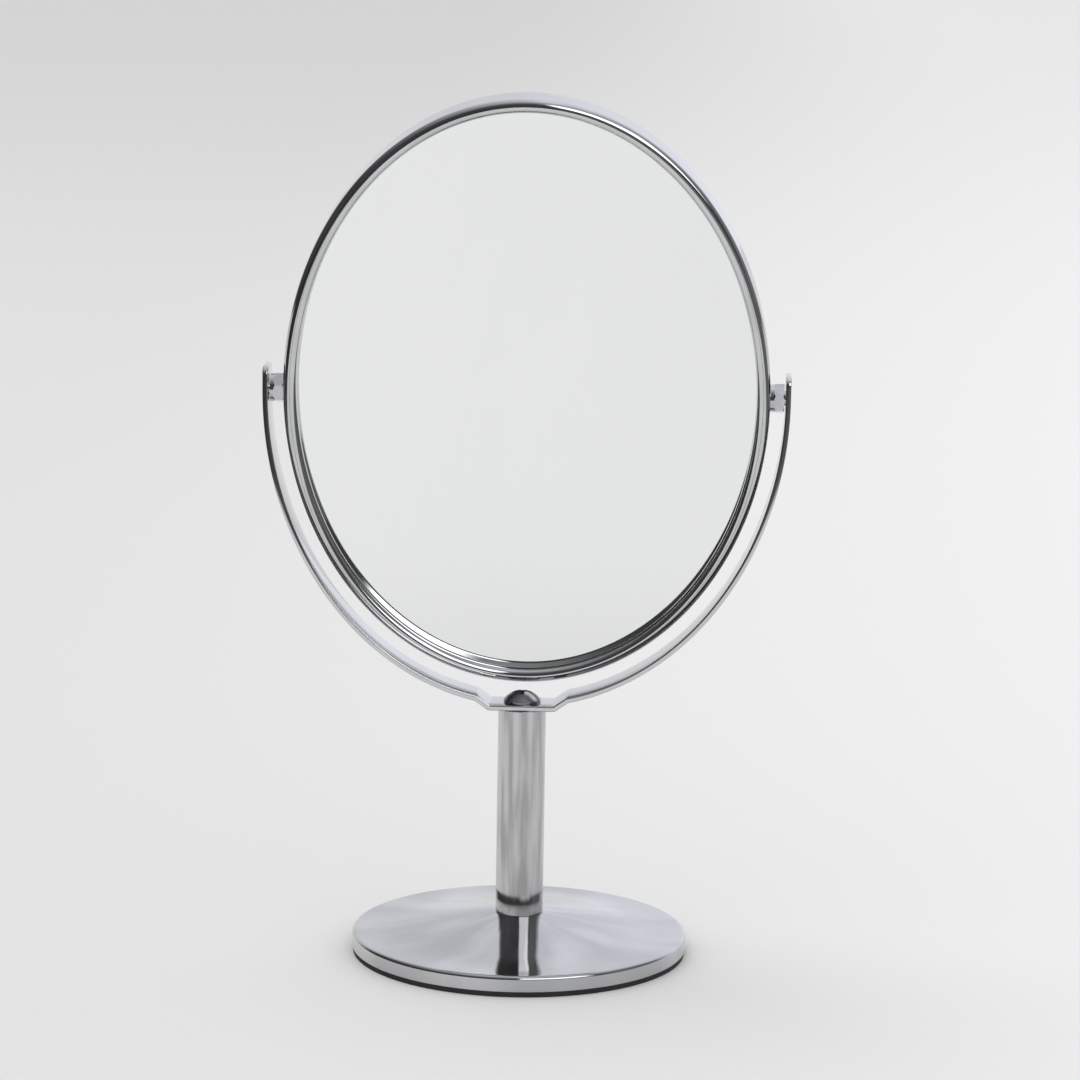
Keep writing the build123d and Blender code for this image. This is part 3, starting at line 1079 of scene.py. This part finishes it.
@dataclass
class HeadAssembly(Assembly):
    """Mirror head: rolled ring, two panes, card and packing.

    Attributes:
        lip_round: Radius of the ring's sheet edges.
        lean_start: Place along Y, before the ring's middle, where the front lip starts to lean.
        curl: Radius of the bend there.
        ground_edge: Width of the panes' ground edges.
        ground_share: Share of the glass thickness that each of them takes.
    """

    lip_round: float = 0.08 * MM
    lean_start: float = 3.4 * MM
    curl: float = 2.2 * MM
    ground_edge: float = 0.15 * MM
    ground_share: float = 0.12

    def ring(self, shape: HeadShape) -> Piece:
        """The ring, as the channel's section carried round the oval.

        The oval is (a * cos(t), b * sin(t)). Its outward normal is (b * cos(t), a * sin(t)) over its
        length. Point (i, j) is the oval's point plus u_j times that normal, and v_j along Y.

        Args:
            shape: The head's sizes.

        Returns:
            The new object.
        """
        wide, high = shape.line
        turn = np.linspace(0.0, FULL_TURN, RING_MESH.steps, endpoint=False)
        flat = np.zeros_like(turn)
        oval = np.stack([wide * np.cos(turn), flat, high * np.sin(turn)], axis=1)
        normal = unit(np.stack([high * np.cos(turn), flat, wide * np.sin(turn)], axis=1))
        section = self.channel(shape)
        grid = oval[:, None, :] + normal[:, None, :] * section[None, :, :1]
        grid = grid + np.array([0.0, 1.0, 0.0]) * section[None, :, 1:]
        return surface("ring_shell", shape.leaned(grid), Wrap.BOTH)

    def channel(self, shape: HeadShape) -> np.ndarray:
        """The channel's closed section, with every corner rounded.

        Args:
            shape: The head's sizes.

        Returns:
            Rows of (outward, along Y).
        """
        out, deep = shape.bead, shape.half_depth
        inner, shallow = out - shape.sheet, deep - shape.sheet
        lip, lean_start = self.lip_round, self.lean_start
        rear = min(shape.rear_edge, deep - out - 2 * lip)
        corners = [
            (out, -deep, out),
            (out, deep, out),
            (-out, deep, out),
            (-out, rear, lip),
            (-inner, rear, lip),
            (-inner, shallow, inner),
            (inner, shallow, inner),
            (inner, -shallow, inner),
            (-inner, -shallow, inner),
            (-inner, -lean_start, self.curl - shape.sheet),
            (shape.lip_lean - inner, shape.front_face, lip),
            (shape.lip_lean - out, shape.front_face, lip),
            (-out, -lean_start, self.curl),
            (-out, -deep, out),
        ]
        return rounded_outline(np.array(corners), RING_MESH.arc, RING_MESH.support)

    def pane_profile(self) -> np.ndarray:
        """A pane's profile, from the middle of the front to the middle of the back.

        Returns:
            Rows of (share of the pane's size, cut back from its edge, place through its thickness), the
            last running from 0 on the front face to 1 on the back face.
        """
        shares = np.linspace(0.0, 1.0, PANE_ROWS)
        cut = np.full(PANE_ROWS, self.ground_edge)
        front = np.stack([shares, cut, np.zeros(PANE_ROWS)], axis=1)
        rim = np.array([[1.0, 0.0, self.ground_share], [1.0, 0.0, 1 - self.ground_share]])
        back = np.stack([shares[::-1], cut, np.ones(PANE_ROWS)], axis=1)
        return np.vstack([front, rim, back])

    def pane(self, name: str, shape: HeadShape, front: float, bow: float) -> Piece:
        """An oval pane, flat or bent.

        At share s and turn t a point is (s * (a - e) * cos(t), y, s * (b - e) * sin(t)), with
        y = front + thickness * k + bow * (x^2 + z^2) / 2.

        Args:
            name: The new object's name.
            shape: The head's sizes.
            front: Place along Y of its front face at its middle.
            bow: Curvature of the pane, 0 for a flat one.

        Returns:
            The new object.
        """
        wide, high = shape.pane
        turn = np.linspace(0.0, FULL_TURN, PANE_STEPS, endpoint=False)[:, None]
        share, cut, through = self.pane_profile().T[:, None, :]
        x = share * (wide - cut) * np.cos(turn)
        z = share * (high - cut) * np.sin(turn)
        y = front + shape.glass * through + bow * (x**2 + z**2) / 2
        grid = np.stack([x, y, z], axis=-1)
        piece = surface(name, shape.leaned(grid), Wrap.ROWS)
        piece.data.set_sharp_from_angle(angle=SHARP_PANE)
        return piece

    def build(self) -> None:
        """Builds and dresses the head."""
        shape = HeadShape.from_frame(self.frame)
        self.stand_in(self.ring(shape), Body.HEAD, "mirror_frame", RING_PLATE)
        plain = self.pane("plain_pane", shape, shape.front_face, 0.0)
        self.stand_in(plain, Body.HEAD, "front_mirror", MIRROR_GLASS)
        bent = self.pane("magnifying_pane", shape, shape.rear_crown, 1 / shape.magnifier)
        self.stand_in(bent, Body.HEAD, "rear_mirror", MIRROR_GLASS)
        self.paint(GREY_BOARD, "mirror_core")
        self.paint(PACKING_FOAM, "packing_ring")


@dataclass
class PivotAssembly(Assembly):
    """Studs, nuts and split washers of the two pivots."""

    def build(self) -> None:
        """Dresses the hardware of both sides."""
        for name in (side.value for side in Side):
            self.paint(FASTENER_PLATE, f"{name}_pivot_nut", f"{name}_pivot_stud", f"{name}_spring_washer")


@dataclass
class Studio:
    """Floor, surroundings, lamp and camera.

    A span of two numbers is where a tone starts to change and where it has changed. Turns go from the
    camera's side to the right and heights from the horizon upwards, both in degrees.

    Attributes:
        floor_reach: Radius of the floor.
        floor_painted_light_tones: Painted light: reflectance of the floor on the left and on the right.
        floor_span: Where it changes between them along X.
        floor_matt: Roughness and specular level of the floor.
        paper_centre: Middle of the pale paper along Y, as metal sees it.
        paper_sizes: Its half width and half depth.
        paper_edge: Its soft edge, as a share of its size.
        paper_front: Where its edge ends towards the rear, along Y.
        paper_shade_tones: Its tone with painted shade near the base, and its tone towards the front.
        paper_span: Where it changes between them along Y.
        beyond_tones: Tone of the floor past the paper, on the left and on the right.
        beyond_span: Where it changes between them along X.
        backdrop_for_camera: Tone of the world for the camera and for plain light.
        backdrop_left: Colour of the backdrop that metal sees on the left.
        backdrop_right: Colour of the backdrop that metal sees on the right.
        backdrop_span: Where it changes between them, in the sine of the turn.
        dark_spans: Turn of the dark side's right and left edge, and its fading height.
        flag_tones: Tone of the dark side, and of its part far to the right.
        flag_span: Turn over which it changes between them.
        panel_turns: Turn of the bright panel's left and right edge.
        panel_heights: Height of the panel's foot and top.
        panel_tone: Brightness of the panel.
        lamp_size: Width and depth of the lamp.
        lamp_power: Its power in watts.
        lamp_place: Where it hangs.
        lamp_target: What it shines at.
        lens: Focal length and sensor width, in millimetres.
        camera_clip: Nearest and farthest distance that the camera sees.
        camera_place: Where the camera stands.
        camera_target: What it looks at.
        camera_roll: Its roll, in radians, which lowers the right side of the picture.
    """

    floor_reach: float = 9.0
    # Painted light: the floor is painted lighter to the right.
    floor_painted_light_tones: Span = (0.71, 0.87)
    floor_span: Span = (-0.35, 0.45)
    floor_matt: Span = (0.9, 0.1)
    paper_centre: float = -0.17
    paper_sizes: Span = (0.33, 0.50)
    paper_edge: Span = (0.9, 1.12)
    paper_front: Span = (0.1, -0.05)
    # Painted shade: metal sees the paper darker near the base.
    paper_shade_tones: Span = (0.75, 0.80)
    paper_span: Span = (-0.10, -0.22)
    beyond_tones: Span = (0.03, 0.14)
    beyond_span: Span = (-0.2, 0.35)
    backdrop_for_camera: float = 0.93
    backdrop_left: Triple = (0.76, 0.765, 0.79)
    backdrop_right: Triple = (0.92, 0.94, 1.02)
    backdrop_span: Span = (-0.28, 0.22)
    dark_spans: tuple[Span, Span, Span] = ((140, 105), (-150, -118), (100, 22))
    flag_tones: Span = (0.06, 0.20)
    flag_span: Span = (55, 75)
    panel_turns: tuple[Span, Span] = ((2, 6), (58, 52))
    panel_heights: tuple[Span, Span] = ((14, 18), (48, 42))
    panel_tone: float = 2.3
    lamp_size: Span = (1.8, 1.8)
    lamp_power: float = 13.0
    lamp_place: Triple = (-0.7, 0.6, 2.6)
    lamp_target: Triple = (0.0, 0.0, 0.1)
    lens: Span = (129.9, 36.0)
    camera_clip: Span = (0.05, 50.0)
    camera_place: Triple = (0.0465, -1.0026, 0.2939)
    camera_target: Triple = (0.004, 0.0, 0.111)
    camera_roll: float = 0.016

    def build(self) -> None:
        """Builds everything that isn't part of the object."""
        for step in (self.floor, self.surroundings, self.lamp, self.camera):
            step()

    def floor(self) -> None:
        """A large plain disc: point (i, j) is at radius R * (i / n)^2 and turn t_j."""
        radius = self.floor_reach * np.linspace(0.0, 1.0, FLOOR_RINGS)[:, None] ** 2
        turn = np.linspace(0.0, FULL_TURN, FLOOR_STEPS, endpoint=False)[None, :]
        flat = np.zeros((FLOOR_RINGS, FLOOR_STEPS))
        grid = np.stack([radius * np.cos(turn), radius * np.sin(turn), flat], axis=-1)
        floor = surface("studio_floor", grid, Wrap.COLUMNS)
        floor.data.materials.append(self.floor_material())

    def floor_material(self) -> Material:
        """Pale matt paper with painted light, lighter to the right. Metal sees it as an oval sheet with
        painted shade near the base and dark floor around it.

        Returns:
            The material.
        """
        material, build, shader, place = new_material("studio_paper")
        across, deep, _ = build.parts(place)
        # Painted light: the paper is painted lighter to the right.
        paper = build.blend(build.step(across, self.floor_span), *map(grey, self.floor_painted_light_tones))
        wide, long = self.paper_sizes
        moved = build.vector("ADD", place, (0.0, -self.paper_centre, 0.0))
        reach = build.vector("LENGTH", build.vector("MULTIPLY", moved, (1 / wide, 1 / long, 1.0)))
        edge = build.step(reach, self.paper_edge)
        beyond = build.math("MULTIPLY", edge, build.step(deep, self.paper_front))
        outside = build.blend(build.step(across, self.beyond_span), *map(grey, self.beyond_tones))
        # Painted shade: metal sees the paper darker near the base than towards the front.
        sheet = build.blend(build.step(deep, self.paper_span), *map(grey, self.paper_shade_tones))
        seen_by_metal = build.blend(beyond, sheet, outside)
        reflected = build.add("ShaderNodeLightPath").outputs["Is Glossy Ray"]
        roughness, specular = self.floor_matt
        tone = build.blend(reflected, paper, seen_by_metal)
        build.join(shader, {"Base Color": tone, "Roughness": roughness, "Specular IOR Level": specular})
        return material

    def surroundings(self) -> None:
        """The room: pale all round for the camera, and a set with dark and bright panels for metal."""
        world = bpy.data.worlds.new("studio_room")
        bpy.context.scene.world = world
        world.use_nodes = True
        world.node_tree.nodes.clear()
        build = Nodes(world.node_tree)
        right, back, up = build.parts(build.add("ShaderNodeTexCoord").outputs["Generated"])
        height = build.math("ARCSINE", up)
        turn = build.math("ARCTAN2", right, build.math("MULTIPLY", back, -1.0))
        reflected = build.add("ShaderNodeLightPath").outputs["Is Glossy Ray"]
        colour = build.blend(reflected, grey(self.backdrop_for_camera), self.room_colour(build, turn, height))
        background = build.add("ShaderNodeBackground", {"Color": colour, "Strength": 1.0})
        build.add("ShaderNodeOutputWorld", {"Surface": background.outputs[0]})

    def room_colour(self, build: Nodes, turn: Socket, height: Socket) -> Socket:
        """What the metal sees, by the turn from the camera's side (to the right) and the height.

        The backdrop is pale, brighter and bluer to the right. The camera's side is dark and fades into
        the pale top with height, with one bright upright panel right of the camera.

        Args:
            build: The world's node builder.
            turn: Angle from the camera's side, to the right, in radians.
            height: Angle above the horizon, in radians.

        Returns:
            The colour.
        """

        def within(*edges: tuple[Socket, Span]) -> Socket:
            """The product of one smooth step for each angle and its span in degrees."""
            steps = [build.step(angle, tuple(map(math.radians, span))) for angle, span in edges]
            result = steps[0]
            for step in steps[1:]:
                result = build.math("MULTIPLY", result, step)
            return result

        dark = within(*zip((turn, turn, height), self.dark_spans))
        panel = within(*zip((turn, turn, height, height), self.panel_turns + self.panel_heights))
        flags = build.blend(within((turn, self.flag_span)), *map(grey, self.flag_tones))
        rightness = build.step(build.math("SINE", turn), self.backdrop_span)
        backdrop = build.blend(rightness, solid(self.backdrop_left), solid(self.backdrop_right))
        return build.blend(panel, build.blend(dark, backdrop, flags), grey(self.panel_tone))

    def lamp(self) -> None:
        """One large soft lamp overhead, for the shadow under the base."""
        data = bpy.data.lights.new("overhead_softbox", "AREA")
        data.shape = "RECTANGLE"
        data.size, data.size_y = self.lamp_size
        data.energy = self.lamp_power
        lamp = linked("overhead_softbox", data)
        lamp.location = self.lamp_place
        lamp.visible_glossy = False
        aim = Vector(self.lamp_target) - lamp.location
        lamp.rotation_euler = aim.to_track_quat("-Z", "Y").to_euler()

    def camera(self) -> None:
        """The camera that was fitted to the photograph."""
        data = bpy.data.cameras.new("camera")
        data.lens, data.sensor_width = self.lens
        data.clip_start, data.clip_end = self.camera_clip
        camera = linked("camera", data)
        camera.location = self.camera_place
        aim = (Vector(self.camera_target) - Vector(self.camera_place)).to_track_quat("-Z", "Y").to_matrix()
        camera.rotation_euler = (aim @ Matrix.Rotation(self.camera_roll, 3, "Z")).to_euler()
        bpy.context.scene.camera = camera


def main() -> None:
    """Builds the studio and every sub-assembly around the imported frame."""
    logging.basicConfig(level=logging.INFO, format="%(name)s: %(message)s")
    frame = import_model()
    bpy.context.scene.view_settings.view_transform = "Standard"
    finishes = Finishes()
    for kind in (BaseAssembly, StemAssembly, YokeAssembly, HeadAssembly, PivotAssembly):
        kind(frame, finishes).build()
        log.info("%s is finished", kind.__name__)
    Studio().build()


if __name__ == "__main__":
    main()
